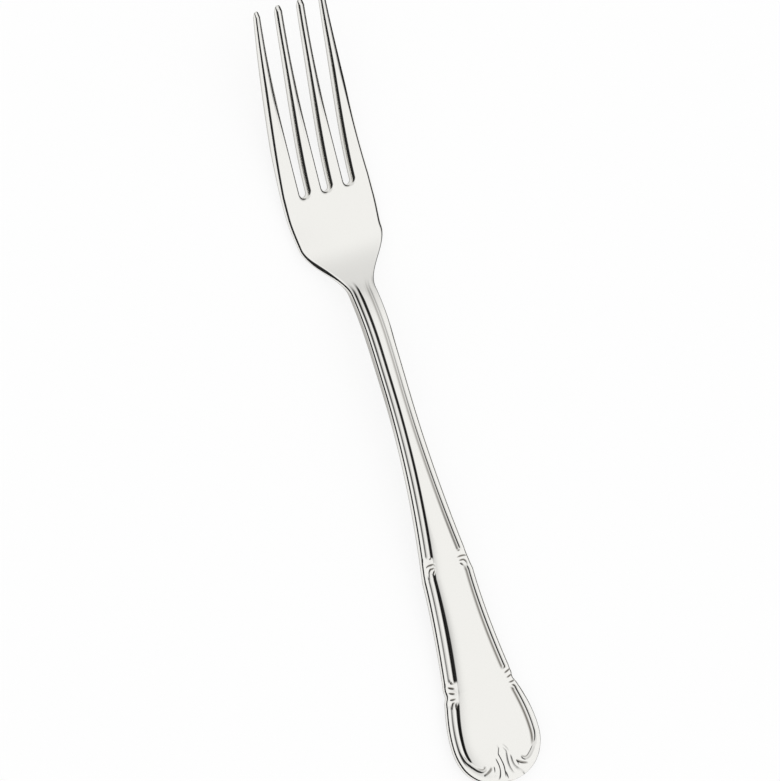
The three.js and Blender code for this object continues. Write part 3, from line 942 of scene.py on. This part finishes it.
floor_mesh = bpy.data.meshes.new("table")
half_floor = FLOOR_SIZE / 2
floor_mesh.from_pydata(
    [(side * half_floor, end * half_floor, 0) for side, end in ((-1, -1), (1, -1), (1, 1), (-1, 1))],
    [],
    [(0, 1, 2, 3)],
)
floor = bpy.data.objects.new("table", floor_mesh)
bpy.context.scene.collection.objects.link(floor)
white = bpy.data.materials.new("white_table")
white.use_nodes = True
tree = white.node_tree
tree.nodes.clear()
rays = node(tree, "ShaderNodeLightPath")
lift = node(
    tree,
    "ShaderNodeMath",
    {"operation": "MULTIPLY"},
    i0=rays.outputs["Is Camera Ray"],
    i1=SHADOW_LIFT,
).outputs[0]
lift = node(
    tree,
    "ShaderNodeMath",
    {"operation": "MULTIPLY_ADD"},
    i0=rays.outputs["Is Glossy Ray"],
    i1=MIRRORED_SHADOW_LIFT,
    i2=lift,
).outputs[0]
glow = node(tree, "ShaderNodeEmission", Color=(1, 1, 1, 1), Strength=1.0).outputs[0]
matt = node(tree, "ShaderNodeBsdfDiffuse", Color=linear(FLOOR_COLOUR)).outputs[0]
both = node(tree, "ShaderNodeMixShader", i0=lift, i1=matt, i2=glow).outputs[0]
node(tree, "ShaderNodeOutputMaterial", Surface=both)
floor_mesh.materials.append(white)

# The tent, by the angle to the side at which a ray leaves. Its openings start further out ahead of the fork
# and are turned to the right behind it, and its cloth is a little greyer at the far end.
TENT_LEFT = math.radians(42)
TENT_LEFT_FADE = math.radians(14)
TENT_RIGHT = math.radians(36)
TENT_RIGHT_FADE = math.radians(22)
TENT_TURN = math.radians(36)
TENT_AHEAD = 0.6
TENT_SIDE = 0.02
TENT_FAR_END = 0.8
TENT_FAR_END_START = 0.2
TENT_FAR_END_FULL = 0.6

world = bpy.data.worlds.new("light_tent")
bpy.context.scene.world = world
world.use_nodes = True
tree = world.node_tree
tree.nodes.clear()
way = node(tree, "ShaderNodeTexCoord").outputs["Generated"]
parts = node(tree, "ShaderNodeSeparateXYZ", Vector=way)
along = parts.outputs["Y"]
ahead = node(tree, "ShaderNodeMath", {"operation": "MULTIPLY"}, i0=along, i1=TENT_AHEAD).outputs[0]
ahead = node(tree, "ShaderNodeMath", {"operation": "MAXIMUM"}, i0=ahead, i1=0.0).outputs[0]
behind = node(tree, "ShaderNodeMath", {"operation": "MINIMUM"}, i0=along, i1=0.0).outputs[0]
upright = node(tree, "ShaderNodeCombineXYZ", X=ahead, Z=parts.outputs["Z"]).outputs[0]
height = node(tree, "ShaderNodeVectorMath", {"operation": "LENGTH"}, i0=upright).outputs["Value"]
angle = node(tree, "ShaderNodeMath", {"operation": "ARCTAN2"}, i0=parts.outputs["X"], i1=height).outputs[0]
side = node(
    tree,
    "ShaderNodeMath",
    {"operation": "MULTIPLY_ADD"},
    i0=behind,
    i1=TENT_TURN,
    i2=angle,
).outputs[0]
cloths = []
for value, start, end, start_white, end_white in (
    (side, -TENT_LEFT - TENT_LEFT_FADE / 2, -TENT_LEFT + TENT_LEFT_FADE / 2, TENT_SIDE, 1.0),
    (side, TENT_RIGHT + TENT_RIGHT_FADE / 2, TENT_RIGHT - TENT_RIGHT_FADE / 2, TENT_SIDE, 1.0),
    (along, TENT_FAR_END_START, TENT_FAR_END_FULL, 1.0, TENT_FAR_END),
):
    cloth = node(
        tree,
        "ShaderNodeMapRange",
        {"interpolation_type": "SMOOTHSTEP"},
        Value=value,
        From_Min=start,
        From_Max=end,
        To_Min=start_white,
        To_Max=end_white,
    )
    cloths.append(cloth.outputs["Result"])
left_cloth, right_cloth, far_cloth = cloths
sides = node(tree, "ShaderNodeMath", {"operation": "MINIMUM"}, i0=left_cloth, i1=right_cloth).outputs[0]
tent = node(tree, "ShaderNodeMath", {"operation": "MULTIPLY"}, i0=sides, i1=far_cloth).outputs[0]
rays = node(tree, "ShaderNodeLightPath")
soft = node(tree, "ShaderNodeMix", i0=rays.outputs["Is Diffuse Ray"], i2=tent, i3=1.0).outputs[0]
strength = node(tree, "ShaderNodeMix", i0=rays.outputs["Is Camera Ray"], i2=soft, i3=1.0).outputs[0]
background = node(tree, "ShaderNodeBackground", Color=(1, 1, 1, 1), Strength=strength).outputs[0]
node(tree, "ShaderNodeOutputWorld", Surface=background)
bpy.context.scene.view_settings.view_transform = "Standard"

# The camera, at the picture's angle: tilted over to the fork's left, with the fork leaning in the frame
IMAGE_WIDTH = 780
IMAGE_HEIGHT = 781
VIEW_TILT = math.radians(23)
FORK_LEAN = math.radians(17.13)
FRAME_WIDTH = 236.1 * MM
ORIGIN_PIXEL = (386.5, 396.0)
CAMERA_DISTANCE = 6.0

level_right = Vector((math.cos(VIEW_TILT), 0, math.sin(VIEW_TILT)))
forwards = Vector((0, 1, 0))
towards = Vector((-math.sin(VIEW_TILT), 0, math.cos(VIEW_TILT)))
right = level_right * math.cos(FORK_LEAN) - forwards * math.sin(FORK_LEAN)
up = level_right * math.sin(FORK_LEAN) + forwards * math.cos(FORK_LEAN)
pixel = FRAME_WIDTH / IMAGE_WIDTH
aim = right * (IMAGE_WIDTH / 2 - ORIGIN_PIXEL[0]) * pixel - up * (IMAGE_HEIGHT / 2 - ORIGIN_PIXEL[1]) * pixel
lens = bpy.data.cameras.new("camera")
lens.sensor_fit = "HORIZONTAL"
lens.sensor_width = 36.0
lens.lens = lens.sensor_width * CAMERA_DISTANCE / FRAME_WIDTH
lens.clip_end = 100.0
camera = bpy.data.objects.new("camera", lens)
bpy.context.scene.collection.objects.link(camera)
turned = Matrix((right, up, towards)).transposed().to_4x4()
camera.matrix_world = Matrix.Translation(aim + towards * CAMERA_DISTANCE) @ turned
bpy.context.scene.camera = camera
